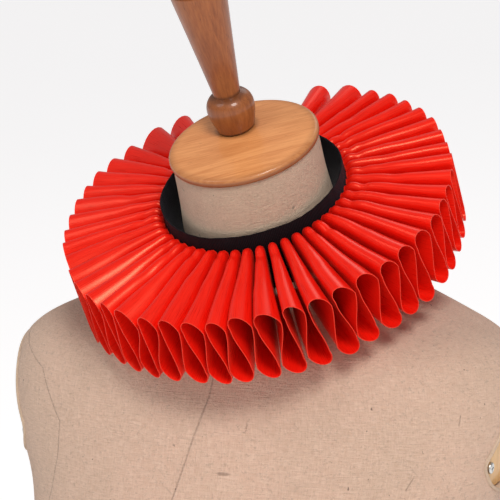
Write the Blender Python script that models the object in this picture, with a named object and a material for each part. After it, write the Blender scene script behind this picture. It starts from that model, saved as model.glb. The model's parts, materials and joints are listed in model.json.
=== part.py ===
"""A ruff collar of red satin ribbon on a linen-covered dress form.

The collar is one ribbon, folded to and fro into figure-eight pleats and sewn by its inner edge to
a black grosgrain neckband that closes at the back. It is worn by a limbless dress form with a
wooden neck cap, a turned handle and a wooden plate at each armhole.

Metres, +Z up. The form's front faces -Y, and its own left is +X. The origin is the middle of the
flat base. Lengths in the tables are in millimetres.
"""

from math import cos, pi, radians, sin, tan

import bpy
import bmesh
from mathutils import Matrix, Vector

MM = 0.001
GAP = 0.3  # between pieces at a seam

# The dress form
CAP_CENTRE = Vector((0.0, -20.0, 560.0))  # the form is measured from here, inside the neck cap
CAP_LIFT = Vector((0.4, 0.0, 3.0))  # from there to the middle of the cap's top face
NECK_LEAN = radians(20.5)  # the neck leans forward
NECK_SIDE = radians(-2.4)  # and a little to the form's right
CAP_RADIUS = 52.0
CAP_THICK = 6.0
HANDLE_FOOT = Vector((-9.4, 16.0, 0.0))  # the handle stands off the cap's middle
FORM_STEPS = 44  # points round a section
ARM_OUT = 168.6  # the flat armhole face, from the torso's middle
ARM_MIDDLE = Vector((-4.6, 7.0, -178.0))  # between the two armholes, from the cap
ARM_TURN = radians(6.0)  # the armhole faces a little forward
ARM_DROP = radians(4.0)  # and a little down
SIDE_DROP = radians(2.4)  # the torso stands a little lower on its left
PLATE_THICK = 6.0
RECESS_CLEAR = 0.8  # round a plate in its recess
CUT_DEEP = 60.0  # the recess cutter passes right out of the form

# The collar
RUFF_CENTRE = Vector((-3.0, 35.0, -66.0))  # from the cap
RUFF_LEAN = radians(23.0)  # forward
RUFF_SIDE = radians(-2.0)  # sideways
BAND_RADIUS = 64.0  # middle of the ribbon's thickness
BAND_THICK = 1.0
BAND_TOP = 38.0  # from the frill's middle plane
BAND_TALL = 46.0
BAND_LAP = radians(20.0)  # how far the ends of the band overlap
OPENING = radians(110.5)  # the middle of the opening, round from the form's left
FRILL_INNER = 65.1
FRILL_OUTER = 137.5
FRILL_THICK = 1.0
LOOPS = 43
FIRST_LOOP = radians(132.5)
SECOND_LOOP = radians(144.5)
PITCH = radians(7.29)
END_STEP = radians(11.9)
END_HALF = 11.0  # half the width of the two relaxed end loops at the outer edge
LENGTHS = 14  # the ribbon's lengths round the neck, three or four loops in each
PER_LOOP = 14  # points of the fold line from one loop's bottom to the next
FIRST_BOTTOM = 12  # the first bottom of a loop along the fold line

# Sections of the form from the neck down, measured from CAP_CENTRE: centre x, y and z,
# half width, depth to the front and to the back, lean, squareness, drop to the form's left in degrees
SECTIONS = [
    (0.8, 2.1, -2.7, 50.2, 50.2, 50.6, 20.5, 2.0, -2.4),
    (0.5, 10.7, -28.6, 50.9, 51.2, 52.0, 20.5, 2.0, -1.6),
    (0.0, 18.6, -49.7, 52.8, 52.0, 55.0, 20.5, 2.0, -0.6),
    (-0.4, 26.0, -67.5, 54.0, 49.5, 57.0, 20.0, 2.0, 0.6),
    (-0.8, 34.5, -88.5, 57.5, 49.5, 60.0, 14.0, 2.0, 1.4),
    (-1.4, 38.0, -104.5, 82.0, 51.5, 66.0, 8.0, 2.0, 2.3),
    (-1.9, 34.0, -115.5, 117.5, 54.0, 75.0, 4.0, 2.0, 2.4),
    (-2.3, 27.0, -126.0, 149.5, 57.0, 83.0, 1.0, 2.0, 2.4),
    (-2.7, 20.0, -135.0, 169.0, 57.0, 93.0, 0.0, 2.05, 2.4),
    (-3.2, 13.0, -147.0, 180.0, 57.0, 104.0, 0.0, 2.1, 2.4),
    (-3.9, 7.0, -166.0, 184.0, 57.0, 118.0, 0.0, 2.2, 2.4),
    (-4.6, 2.0, -190.0, 184.0, 60.0, 129.0, 0.0, 2.3, 2.4),
    (-5.3, 0.0, -214.0, 178.5, 69.0, 133.0, 0.0, 2.35, 2.4),
    (-6.0, 2.0, -238.0, 171.5, 87.0, 131.0, 0.0, 2.4, 2.4),
    (-6.6, 10.0, -266.0, 168.5, 116.0, 122.0, 0.0, 2.5, 2.1),
    (-6.8, 18.0, -305.0, 168.5, 134.0, 111.0, 0.0, 2.5, 1.6),
    (-6.2, 22.0, -352.0, 155.0, 126.0, 100.0, 0.0, 2.3, 1.0),
    (-4.6, 24.0, -410.0, 133.0, 103.0, 84.0, 0.0, 2.25, 0.4),
    (-2.6, 22.0, -465.0, 120.0, 88.0, 76.0, 0.0, 2.25, 0.0),
    (-1.0, 20.0, -515.0, 133.0, 88.0, 84.0, 0.0, 2.25, 0.0),
    (0.0, 20.0, -560.0, 146.0, 94.0, 92.0, 0.0, 2.25, 0.0),
]

# Turned profile of the handle: height over the cap, radius
HANDLE = [
    (0.4, 12.2),
    (1.4, 13.2),
    (4.0, 13.8),
    (9.0, 15.3),
    (14.0, 16.3),
    (18.5, 16.4),
    (22.5, 15.2),
    (25.6, 12.6),
    (27.2, 9.2),
    (52.0, 12.2),
    (80.0, 15.7),
    (106.0, 19.0),
    (108.6, 18.8),
    (111.5, 20.0),
    (117.0, 20.3),
    (124.0, 17.6),
    (129.0, 11.6),
    (131.4, 4.0),
]

# Outline of an armhole plate, from the armhole's middle: along the form, then up
PLATE = [
    (-35.0, -26.0),
    (-34.0, -36.0),
    (-29.0, -43.0),
    (-20.0, -47.5),
    (-6.0, -49.0),
    (8.0, -46.0),
    (20.0, -38.0),
    (29.0, -26.0),
    (34.0, -10.0),
    (36.0, 6.0),
    (34.5, 17.0),
    (29.0, 26.5),
    (19.0, 31.5),
    (8.0, 31.0),
    (-1.0, 25.5),
    (-10.0, 14.5),
    (-18.0, 2.0),
    (-27.0, -12.0),
]
SCREWS = [("front", -28.5, -31.0), ("back", 24.0, 21.0)]

# name: colour, roughness, metallic, sheen
FINISHES = {
    "linen": ((0.60, 0.42, 0.32), 0.92, 0.0, 0.3),
    "beech": ((0.66, 0.31, 0.11), 0.28, 0.0, 0.0),
    "dark beech": ((0.42, 0.15, 0.05), 0.25, 0.0, 0.0),
    "pale wood": ((0.72, 0.45, 0.20), 0.45, 0.0, 0.0),
    "steel": ((0.62, 0.62, 0.60), 0.30, 1.0, 0.0),
    "grosgrain": ((0.012, 0.010, 0.012), 0.70, 0.0, 0.4),
    "satin": ((0.78, 0.015, 0.008), 0.32, 0.0, 0.5),
    "hook tape": ((0.02, 0.02, 0.02), 0.9, 0.0, 0.2),
}


def clear_scene():
    for thing in list(bpy.data.objects):
        bpy.data.objects.remove(thing, do_unlink=True)
    for mesh in list(bpy.data.meshes):
        bpy.data.meshes.remove(mesh)


def finish_for(name, kind):
    material = bpy.data.materials.new(name)
    material.use_nodes = True
    shader = material.node_tree.nodes["Principled BSDF"]
    colour, rough, metal, sheen = FINISHES[kind]
    shader.inputs["Base Color"].default_value = (*colour, 1.0)
    shader.inputs["Roughness"].default_value = rough
    shader.inputs["Metallic"].default_value = metal
    shader.inputs["Sheen Weight"].default_value = sheen
    material.diffuse_color = (*colour, 1.0)
    return material


def add_object(name, kind, points, faces, smooth=40.0):
    """One named object from points in millimetres, with its normals facing out."""
    mesh = bpy.data.meshes.new(name)
    mesh.from_pydata([Vector(p) * MM for p in points], [], faces)
    mesh.update()
    item = bpy.data.objects.new(name, mesh)
    bpy.context.scene.collection.objects.link(item)
    shell = bmesh.new()
    shell.from_mesh(mesh)
    bmesh.ops.remove_doubles(shell, verts=shell.verts, dist=1e-7)
    bmesh.ops.recalc_face_normals(shell, faces=shell.faces)
    shell.to_mesh(mesh)
    shell.free()
    mesh.materials.append(finish_for(name + " finish", kind))
    if smooth:
        mesh.shade_smooth()
        mesh.set_sharp_from_angle(angle=radians(smooth))
    return item


def apply_modifiers(item):
    """Bakes the modifiers into the mesh."""
    graph = bpy.context.evaluated_depsgraph_get()
    baked = bpy.data.meshes.new_from_object(item.evaluated_get(graph))
    old = item.data
    item.modifiers.clear()
    item.data = baked
    bpy.data.meshes.remove(old)


def loft(rings):
    """Points and faces of a closed solid through rings of equal length, with flat ends."""
    count = len(rings[0])
    points = [p for ring in rings for p in ring]
    faces = []
    for row in range(len(rings) - 1):
        for k in range(count):
            a = row * count + k
            b = row * count + (k + 1) % count
            faces.append((a, b, b + count, a + count))
    faces.append(tuple(range(count)))
    last = (len(rings) - 1) * count
    faces.append(tuple(last + k for k in reversed(range(count))))
    return points, faces


def power(value, exponent):
    return (1.0 if value >= 0.0 else -1.0) * abs(value) ** exponent


def section_ring(row):
    """One section of the form: a rounded oval, deeper or shallower at the front than the back."""
    centre_x, centre_y, centre_z, half, front, back, lean, square, drop = row
    tilt = radians(lean)
    ring = []
    for k in range(FORM_STEPS):
        turn = 2.0 * pi * k / FORM_STEPS
        x = half * power(cos(turn), 2.0 / square)
        deep = back if sin(turn) > 0.0 else front
        d = deep * power(sin(turn), 2.0 / square)
        y = centre_y + d * cos(tilt)
        z = centre_z + d * sin(tilt) - x * tan(radians(drop))
        ring.append(CAP_CENTRE + Vector((centre_x + x, y, z)))
    return ring


def neck_frame():
    """Places a thing modelled round +Z on the cap's top face."""
    turn = Matrix.Rotation(NECK_SIDE, 4, "Y") @ Matrix.Rotation(NECK_LEAN, 4, "X")
    return Matrix.Translation(CAP_CENTRE + CAP_LIFT) @ turn


def turned(profile, steps, frame):
    """A turned solid from rows of height and radius."""
    rings = []
    for height, radius in profile:
        ring = []
        for k in range(steps):
            turn = 2.0 * pi * k / steps
            ring.append(frame @ Vector((radius * cos(turn), radius * sin(turn), height)))
        rings.append(ring)
    return loft(rings)


def arm_frame(side):
    """The armhole face's frame: X along the form to the back, Y up, Z out of the form."""
    flat = cos(ARM_DROP)
    out = Vector((side * cos(ARM_TURN) * flat, -sin(ARM_TURN) * flat, -sin(ARM_DROP)))
    out.rotate(Matrix.Rotation(SIDE_DROP, 3, "Y"))
    up = (Vector((0, 0, 1)) - out * out.z).normalized()
    along = up.cross(out) * side
    middle = CAP_CENTRE + ARM_MIDDLE + Vector((1.0, 0.0, -tan(SIDE_DROP))) * side * ARM_OUT
    frame = Matrix((along, up, out)).transposed().to_4x4()
    return Matrix.Translation(middle) @ frame


def plate_ring(side, inset, out):
    """The armhole plate's outline, moved in from its edge and out from the armhole face."""
    frame = arm_frame(side)
    ring = []
    for along, up in PLATE:
        spot = Vector((along, up, 0.0))
        spot -= spot.normalized() * inset
        ring.append(frame @ Vector((spot.x, spot.y, out)))
    return ring


def form_body():
    """The linen-covered neck, shoulders and torso, with a flat-bottomed recess at each armhole."""
    points, faces = loft([section_ring(row) for row in SECTIONS])
    body = add_object("form_body", "linen", points, faces, 50.0)
    cutters = []
    for side in (-1, 1):
        points, faces = loft([plate_ring(side, -RECESS_CLEAR, out) for out in (0.0, CUT_DEEP)])
        cutter = add_object("armhole cutter", "linen", points, faces, 0.0)
        cutters.append(cutter)
        cut = body.modifiers.new("armhole", "BOOLEAN")
        cut.operation = "DIFFERENCE"
        cut.solver = "EXACT"
        cut.object = cutter
    apply_modifiers(body)
    for cutter in cutters:
        bpy.data.objects.remove(cutter, do_unlink=True)
    body.data.materials.clear()
    body.data.materials.append(bpy.data.materials["form_body finish"])
    return body


def neck_cap():
    """The wooden cap, with a rounded edge, just over the neck."""
    low = GAP - CAP_THICK + 0.1
    profile = [
        (low, CAP_RADIUS - 1.6),
        (low + 1.0, CAP_RADIUS - 0.3),
        (-2.6, CAP_RADIUS),
        (-1.2, CAP_RADIUS - 0.5),
        (-0.3, CAP_RADIUS - 1.7),
        (0.0, CAP_RADIUS - 3.4),
    ]
    points, faces = turned(profile, 48, neck_frame())
    return add_object("neck_cap", "beech", points, faces, 30.0)


def handle():
    """The turned handle on the cap: foot, bead and a grip that widens upward to a round end."""
    frame = neck_frame() @ Matrix.Translation(HANDLE_FOOT)
    points, faces = turned(HANDLE, 24, frame)
    return add_object("handle", "dark beech", points, faces, 50.0)


def arm_plate(name, side):
    """The wooden plate on an armhole, an egg shape wider at the bottom, with an eased edge."""
    layers = ((0.0, GAP), (0.0, PLATE_THICK - 1.2), (1.2, PLATE_THICK))
    points, faces = loft([plate_ring(side, inset, out) for inset, out in layers])
    return add_object(name, "pale wood", points, faces, 40.0)


def plate_screw(name, side, along, up):
    """A round-headed screw's head, just over the plate."""
    frame = arm_frame(side) @ Matrix.Translation((along, up, PLATE_THICK + GAP))
    points, faces = turned([(0.0, 4.0), (0.7, 4.0), (1.5, 3.1), (1.9, 1.5)], 12, frame)
    return add_object(name, "steel", points, faces, 50.0)


def ruff_frame():
    """The collar's own frame: X to the form's left, Y to the back, Z up the neck."""
    up = Vector((sin(RUFF_SIDE), -sin(RUFF_LEAN) * cos(RUFF_SIDE), cos(RUFF_LEAN) * cos(RUFF_SIDE)))
    left = (Vector((1, 0, 0)) - up * up.x).normalized()
    back = up.cross(left)
    frame = Matrix((left, back, up)).transposed().to_4x4()
    return Matrix.Translation(CAP_CENTRE + RUFF_CENTRE) @ frame


def thick_sheet(columns, normals, thick):
    """A closed wall from columns of points, moved half the thickness to either side."""
    down = len(columns[0])
    points = []
    for side in (0.5, -0.5):
        for column, outs in zip(columns, normals):
            for p, n in zip(column, outs):
                points.append(p + n * thick * side)
    count = len(columns) * down
    faces = []
    for i in range(len(columns) - 1):
        for j in range(down - 1):
            a = i * down + j
            quad = (a, a + 1, a + down + 1, a + down)
            faces.append(quad)
            faces.append(tuple(k + count for k in reversed(quad)))
    edge = list(range(down))
    edge += [i * down + down - 1 for i in range(1, len(columns))]
    edge += [(len(columns) - 1) * down + j for j in reversed(range(down - 1))]
    edge += [i * down for i in reversed(range(1, len(columns) - 1))]
    for a, b in zip(edge, edge[1:] + edge[:1]):
        faces.append((a, b, b + count, a + count))
    return points, faces


def neckband():
    """The grosgrain band: a ring whose ends lap over each other at the opening."""
    frame = ruff_frame()
    columns, normals = [], []
    steps = 46
    start = OPENING - BAND_LAP / 2.0
    span = 2.0 * pi + BAND_LAP
    step_out = BAND_THICK * 2.0 + 2.0 * GAP + 1.0
    for k in range(steps + 1):
        part = k / steps
        turn = start + span * part
        past = max(0.0, (part - 0.88) / 0.12)
        ease = min(1.0, past * 2.0)
        radius = BAND_RADIUS - step_out * ease * ease * (3.0 - 2.0 * ease)
        out = Vector((cos(turn), sin(turn), 0.0))
        column = []
        for level in (BAND_TOP - BAND_TALL, BAND_TOP):
            column.append(out * radius + Vector((0, 0, level)))
        columns.append(column)
        normals.append([out, out])
    points, faces = thick_sheet(columns, normals, BAND_THICK)
    return add_object("neckband", "grosgrain", [frame @ p for p in points], faces, 40.0)


def closure_pad():
    """The pad of hook tape between the lapped ends of the band."""
    frame = ruff_frame()
    columns, normals = [], []
    radius = BAND_RADIUS - BAND_THICK / 2.0 - GAP - 0.7
    for k in range(5):
        turn = OPENING + BAND_LAP * 0.36 * (k / 4.0 * 2.0 - 1.0)
        out = Vector((cos(turn), sin(turn), 0.0))
        column = []
        for level in (BAND_TOP - BAND_TALL + 5.0, BAND_TOP - 5.0):
            column.append(out * radius + Vector((0, 0, level)))
        columns.append(column)
        normals.append([out, out])
    points, faces = thick_sheet(columns, normals, 1.0)
    return add_object("closure_pad", "hook tape", [frame @ p for p in points], faces, 40.0)


def loop_angles():
    """Where the upper loops stand round the neck: regular, with a wider step at each end."""
    angles = [FIRST_LOOP]
    angles += [SECOND_LOOP + PITCH * k for k in range(LOOPS - 2)]
    angles.append(angles[-1] + END_STEP)
    return angles


def loop_half(index, reach):
    """Half the width of an upper loop, from the neck edge (reach 0) to the outer edge (1)."""
    radius = FRILL_INNER + (FRILL_OUTER - FRILL_INNER) * reach
    pinched = PITCH * radius / 4.0
    filled = PITCH * radius / 2.0 - 0.72
    half = pinched + (filled - pinched) * min(1.0, 2.0 * reach)
    if index in (0, LOOPS - 1):
        half += (END_HALF - PITCH * FRILL_OUTER / 2.0 + 0.72) * reach
    return half


def ribbon_path(reach):
    """The ribbon's fold line at one distance from the neck, as points along it: (turn, height)."""
    radius = FRILL_INNER + (FRILL_OUTER - FRILL_INNER) * reach
    top = 30.5 + (25.9 - 30.5) * reach
    low = -15.5 + (-26.4 + 15.5) * reach
    angles = loop_angles()
    path = []
    for i, angle in enumerate(angles):
        half = loop_half(i, reach)
        lower = min(half, loop_half(1, reach))
        cap = half * 1.05
        foot = lower * 1.05
        before = angle - (angles[1] - angles[0] if i == 0 else angle - angles[i - 1]) / 2.0
        after = angle + (angles[-1] - angles[-2] if i == LOOPS - 1 else angles[i + 1] - angle) / 2.0
        free_start = i == 0
        free_end = i == LOOPS - 1
        left_low = angle - half / radius if free_start else before + lower / radius
        right_low = angle + half / radius if free_end else after - lower / radius
        # up the left wall
        for part in (0.0, 1.0 / 3.0, 2.0 / 3.0):
            ease = part * part * (3.0 - 2.0 * part)
            turn = left_low + (angle - half / radius - left_low) * ease
            path.append((turn, low + foot + (top - cap - low - foot) * part))
        # over the top
        for k in range(5):
            a = pi - pi * k / 4.0
            path.append((angle + half / radius * cos(a), top - cap + cap * sin(a)))
        # down the right wall
        for part in (1.0 / 3.0, 2.0 / 3.0, 1.0):
            ease = part * part * (3.0 - 2.0 * part)
            turn = angle + half / radius + (right_low - angle - half / radius) * ease
            path.append((turn, top - cap + (low + foot - top + cap) * part))
        # round the bottom to the next loop
        if not free_end:
            for k in (1, 2, 3):
                a = pi + pi * k / 4.0
                path.append((after + lower / radius * cos(a), low + foot + foot * sin(a)))
    return path


def frill_lengths():
    """The pleated ribbon, as lengths that meet at the bottoms of loops."""
    frame = ruff_frame()
    reaches = (0.0, 0.5, 1.0)
    paths = [ribbon_path(reach) for reach in reaches]
    columns = []
    for k in range(len(paths[0])):
        column = []
        for reach, path in zip(reaches, paths):
            radius = FRILL_INNER + (FRILL_OUTER - FRILL_INNER) * reach
            turn, height = path[k]
            column.append(Vector((radius * cos(turn), radius * sin(turn), height)))
        columns.append(column)
    normals = []
    for k, column in enumerate(columns):
        outs = []
        for j, point in enumerate(column):
            before = columns[max(0, k - 1)][j]
            after = columns[min(len(columns) - 1, k + 1)][j]
            inner = column[max(0, j - 1)]
            outer = column[min(2, j + 1)]
            outs.append((after - before).cross(outer - inner).normalized())
        normals.append(outs)
    marks = [0]
    for k in range(1, LENGTHS):
        marks.append(FIRST_BOTTOM + PER_LOOP * round(k * (LOOPS - 1) / LENGTHS - 1))
    marks.append(len(columns) - 1)
    made = []
    for number, (start, end) in enumerate(zip(marks, marks[1:]), 1):
        part = [list(column) for column in columns[start : end + 1]]
        outs = normals[start : end + 1]
        for at, beside in ((0, 1), (-1, -2)):
            if (at == 0 and start == 0) or (at == -1 and end == len(columns) - 1):
                continue
            trimmed = []
            for p, q in zip(part[at], part[beside]):
                trimmed.append(p + (q - p).normalized() * GAP * 0.6)
            part[at] = trimmed
        points, faces = thick_sheet(part, outs, FRILL_THICK)
        name = "frill_%d" % number
        made.append(add_object(name, "satin", [frame @ p for p in points], faces, 60.0))
    return made


def main():
    clear_scene()
    form_body()
    neck_cap()
    handle()
    for word, side in (("right", -1), ("left", 1)):
        arm_plate("arm_plate_" + word, side)
        for place, along, up in SCREWS:
            plate_screw("screw_%s_%s" % (word, place), side, along, up)
    neckband()
    closure_pad()
    frill_lengths()
    total = 0
    for item in bpy.data.objects:
        item.data.calc_loop_triangles()
        count = len(item.data.loop_triangles)
        total += count
        print(item.name, count, "triangles")
    print("all", total, "triangles")


main()
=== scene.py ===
# %% [markdown]
# # A satin ruff collar on a dress form
#
# The collar is one long red satin ribbon. It is folded to and fro into figure-eight pleats, and
# its inner edge is sewn to a black grosgrain band that closes at the back of the neck. It is worn
# by a dress form: a torso covered in linen, with a wooden cap on the neck, a turned handle and a
# wooden plate at each armhole.
#
# The construction is already there as plain solids. This script gives every surface its finish,
# and makes the cloth as thin shells in the space that those solids hold.

# %% Load the frame
import json
import random
from math import cos, exp, pi, radians, sin, tan

import bpy
from mathutils import Matrix, Vector
from mathutils.bvhtree import BVHTree

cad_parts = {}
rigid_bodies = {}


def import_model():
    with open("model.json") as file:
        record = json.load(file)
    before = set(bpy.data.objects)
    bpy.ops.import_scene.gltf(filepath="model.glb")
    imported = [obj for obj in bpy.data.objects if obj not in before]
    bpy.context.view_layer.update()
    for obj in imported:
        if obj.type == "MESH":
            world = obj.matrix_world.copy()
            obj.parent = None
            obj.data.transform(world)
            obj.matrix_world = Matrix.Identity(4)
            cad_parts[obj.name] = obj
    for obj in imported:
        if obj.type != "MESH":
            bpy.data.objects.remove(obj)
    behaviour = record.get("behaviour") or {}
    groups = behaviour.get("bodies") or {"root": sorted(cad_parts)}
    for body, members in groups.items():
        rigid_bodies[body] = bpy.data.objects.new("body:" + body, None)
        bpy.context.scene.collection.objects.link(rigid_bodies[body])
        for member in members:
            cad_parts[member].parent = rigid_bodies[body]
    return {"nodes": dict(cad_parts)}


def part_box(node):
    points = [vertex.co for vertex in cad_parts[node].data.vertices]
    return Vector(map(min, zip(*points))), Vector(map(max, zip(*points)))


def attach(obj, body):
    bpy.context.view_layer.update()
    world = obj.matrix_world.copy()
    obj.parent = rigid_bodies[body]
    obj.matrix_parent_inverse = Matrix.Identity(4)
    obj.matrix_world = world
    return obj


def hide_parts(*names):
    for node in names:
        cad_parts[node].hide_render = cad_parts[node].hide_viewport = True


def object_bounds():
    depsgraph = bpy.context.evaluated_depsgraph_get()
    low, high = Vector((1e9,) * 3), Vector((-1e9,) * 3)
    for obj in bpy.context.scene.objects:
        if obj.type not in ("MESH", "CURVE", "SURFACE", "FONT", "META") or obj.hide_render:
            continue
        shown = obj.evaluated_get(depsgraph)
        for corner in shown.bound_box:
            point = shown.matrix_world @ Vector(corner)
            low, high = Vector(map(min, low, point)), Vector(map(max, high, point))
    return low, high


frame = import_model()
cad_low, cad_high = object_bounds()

MM = 0.001
print("the solids span", [round(c, 3) for c in cad_high - cad_low], "m")

# %% [markdown]
# ## Where things are
#
# Every place comes from the solids. The neck cap and the neckband are round and tilted, so the
# middle of each one's box is its own middle. From there a frame is turned by the lean of the neck
# or of the collar, and each piece is modelled upright in its frame.

# %% Frames of the neck and the collar
NECK_LEAN = radians(20.5)
NECK_SIDE = radians(-2.4)
CAP_LIFT = Vector((0.4, 0.0, 3.0)) * MM  # from the point the form is measured from
COLLAR_LEAN = radians(23.0)
COLLAR_SIDE = radians(-2.0)
CAP_THICK = 5.6
BAND_TOP = 38.0  # over the middle plane of the frill
BAND_TALL = 46.0


def middle_of(node):
    low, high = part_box(node)
    return (low + high) / 2.0


def frame_along(middle, up):
    """A frame whose Z is up, and whose X stays level with the form's own left."""
    up = up.normalized()
    left = (Vector((1.0, 0.0, 0.0)) - up * up.x).normalized()
    turn = Matrix((left, up.cross(left), up)).transposed().to_4x4()
    return Matrix.Translation(middle) @ turn


neck_turn = Matrix.Rotation(NECK_SIDE, 4, "Y") @ Matrix.Rotation(NECK_LEAN, 4, "X")
neck_up = neck_turn.to_3x3() @ Vector((0.0, 0.0, 1.0))
cap_top = middle_of("neck_cap") + neck_up * CAP_THICK / 2.0 * MM
neck_frame = Matrix.Translation(cap_top) @ neck_turn
datum = cap_top - CAP_LIFT

collar_up = Vector((
    sin(COLLAR_SIDE),
    -sin(COLLAR_LEAN) * cos(COLLAR_SIDE),
    cos(COLLAR_LEAN) * cos(COLLAR_SIDE),
))
band_rise = (BAND_TOP - BAND_TALL / 2.0) * MM
collar_middle = middle_of("neckband") - collar_up * band_rise
collar_frame = frame_along(collar_middle, collar_up)
print("neck cap top at", [round(c, 4) for c in cap_top])
print("collar middle at", [round(c, 4) for c in collar_middle])

# %% [markdown]
# ## The camera and the light
#
# The collar is seen from the front, a little from the form's left and from above, through a long
# lens, and the camera is rolled a little. The key light is a soft disc high on the form's left.
# A wider, weaker one stands on its right and a faint one behind, and a white room all round keeps
# the shadows pale.

# %% Camera
VIEW_TURN = radians(21.6)
VIEW_RISE = radians(13.7)
VIEW_ROLL = radians(-5.0)
VIEW_DISTANCE = 1.52
LENS = 162.5
AIM_FROM_DATUM = Vector((5.0, -16.0, -70.0)) * MM


def sphere_way(turn, rise):
    """The way from the object to something at this turn from the front and this height."""
    return Vector((sin(turn) * cos(rise), -cos(turn) * cos(rise), sin(rise)))


back = sphere_way(VIEW_TURN, VIEW_RISE)
level = Vector((cos(VIEW_TURN), sin(VIEW_TURN), 0.0))
right = level * cos(VIEW_ROLL) + back.cross(level) * sin(VIEW_ROLL)
aim = datum + AIM_FROM_DATUM
bpy.ops.object.camera_add()
camera = bpy.context.object
turn = Matrix((right, back.cross(right), back)).transposed().to_4x4()
camera.matrix_world = Matrix.Translation(aim + back * VIEW_DISTANCE) @ turn
camera.data.lens = LENS
bpy.context.scene.camera = camera
print("camera at", [round(c, 3) for c in camera.location])

# %% Lights and room
LIGHTS = [  # name, turn, rise, distance, size, power, colour
    ("key", 34.0, 43.0, 2.0, 0.75, 27.0, (1.0, 0.975, 0.94)),
    ("fill", -45.0, 44.0, 2.4, 1.2, 10.0, (0.98, 0.985, 1.0)),
    ("back", 175.0, 42.0, 2.4, 1.2, 5.0, (1.0, 0.98, 0.96)),
]
ROOM = (0.95, 0.955, 0.97)
ROOM_STRENGTH = 0.34
for name, side, rise, distance, size, power, colour in LIGHTS:
    way = sphere_way(radians(side), radians(rise))
    bpy.ops.object.light_add(type="AREA", location=aim + way * distance)
    lamp = bpy.context.object
    lamp.name = name + " light"
    lamp.rotation_euler = way.to_track_quat("Z", "Y").to_euler()
    lamp.data.shape = "DISK"
    lamp.data.size = size
    lamp.data.energy = power
    lamp.data.color = colour

room = bpy.data.worlds.new("white room")
room.use_nodes = True
room.node_tree.nodes["Background"].inputs["Color"].default_value = (*ROOM, 1.0)
room.node_tree.nodes["Background"].inputs["Strength"].default_value = ROOM_STRENGTH
bpy.context.scene.world = room
bpy.context.scene.view_settings.view_transform = "Standard"

# %% [markdown]
# ## Small tools
#
# An operator acts on everything that is selected, so each piece starts with nothing selected.
# A finished piece is moved into its place by its mesh, and its object stays at the origin.

# %% Tools for making pieces


def select_none():
    if bpy.context.mode != "OBJECT":
        bpy.ops.object.mode_set(mode="OBJECT")
    for thing in bpy.data.objects:
        thing.select_set(False)


def make_active(piece):
    select_none()
    piece.select_set(True)
    bpy.context.view_layer.objects.active = piece


def smoothly(part):
    """From 0 to 1 with soft ends."""
    part = min(1.0, max(0.0, part))
    return part * part * (3.0 - 2.0 * part)


def smooth_through(rows, steps):
    """Rows of numbers on a smooth curve through the given rows."""
    made = []
    last = len(rows) - 1
    for i in range(last):
        a = rows[max(0, i - 1)]
        b = rows[i]
        c = rows[i + 1]
        d = rows[min(last, i + 2)]
        for step in range(steps):
            t = step / steps
            row = []
            for p, q, r, s in zip(a, b, c, d):
                bend = (2 * p - 5 * q + 4 * r - s) * t * t + (3 * q - p - 3 * r + s) * t * t * t
                row.append(0.5 * (2 * q + (r - p) * t + bend))
            made.append(row)
    made.append(list(rows[-1]))
    return made


def round_neck(turn, radius, height):
    """A point at this turn, radius and height, given in radians and millimetres."""
    return Vector((radius * cos(turn), radius * sin(turn), height)) * MM


def sheet_from(name, columns, closed=False):
    """A sheet through columns of points. Its UV map is left for the caller."""
    down = len(columns[0])
    points = [p for column in columns for p in column]
    faces = []
    for i in range(len(columns) - (0 if closed else 1)):
        for j in range(down - 1):
            a = i * down + j
            b = (i + 1) % len(columns) * down + j
            faces.append((a, b, b + 1, a + 1))
    mesh = bpy.data.meshes.new(name)
    mesh.from_pydata(points, [], faces)
    piece = bpy.data.objects.new(name, mesh)
    bpy.context.scene.collection.objects.link(piece)
    return piece


def face_outwards():
    """In edit mode: turns all the faces outwards, and goes back to object mode."""
    bpy.ops.mesh.select_all(action="SELECT")
    bpy.ops.mesh.normals_make_consistent(inside=False)
    bpy.ops.object.mode_set(mode="OBJECT")


def cut_away(piece, tool):
    """Cuts a tool out of a piece with a Boolean modifier, and puts the tool away."""
    cut = piece.modifiers.new("cut", "BOOLEAN")
    cut.object = tool
    cut.operation = "DIFFERENCE"
    make_active(piece)
    bpy.ops.object.modifier_apply(modifier=cut.name)
    bpy.data.objects.remove(tool, do_unlink=True)


def give_thickness(piece, thick, offset=0.0):
    """Gives a sheet its wall, and applies it."""
    make_active(piece)
    wall = piece.modifiers.new("wall", "SOLIDIFY")
    wall.thickness = thick
    wall.offset = offset
    wall.use_even_offset = False
    bpy.ops.object.modifier_apply(modifier=wall.name)


def settle(piece, place, finish, nodes=(), smooth=40.0):
    """Puts a piece in its place by its mesh, gives it its finish and its body, hides the solids it
    stands for, and prints how many faces it has.
    """
    make_active(piece)
    piece.data.transform(place @ piece.matrix_world)
    piece.matrix_world = Matrix.Identity(4)
    bpy.ops.object.shade_smooth_by_angle(angle=radians(smooth))
    piece.data.materials.clear()
    piece.data.materials.append(finish)
    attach(piece, "root")
    if nodes:
        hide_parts(*nodes)
    print(piece.name, "has", len(piece.data.polygons), "faces")


# %% [markdown]
# ## Writing finishes as sums
#
# A finish is a network of shader nodes. It reads better as arithmetic, so `Value` wraps one
# socket and turns `+`, `-`, `*` and `/` into Math nodes. `Finish` holds the material, makes any
# other node, and joins values to its shader.

# %% A socket that can be added and multiplied


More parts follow.
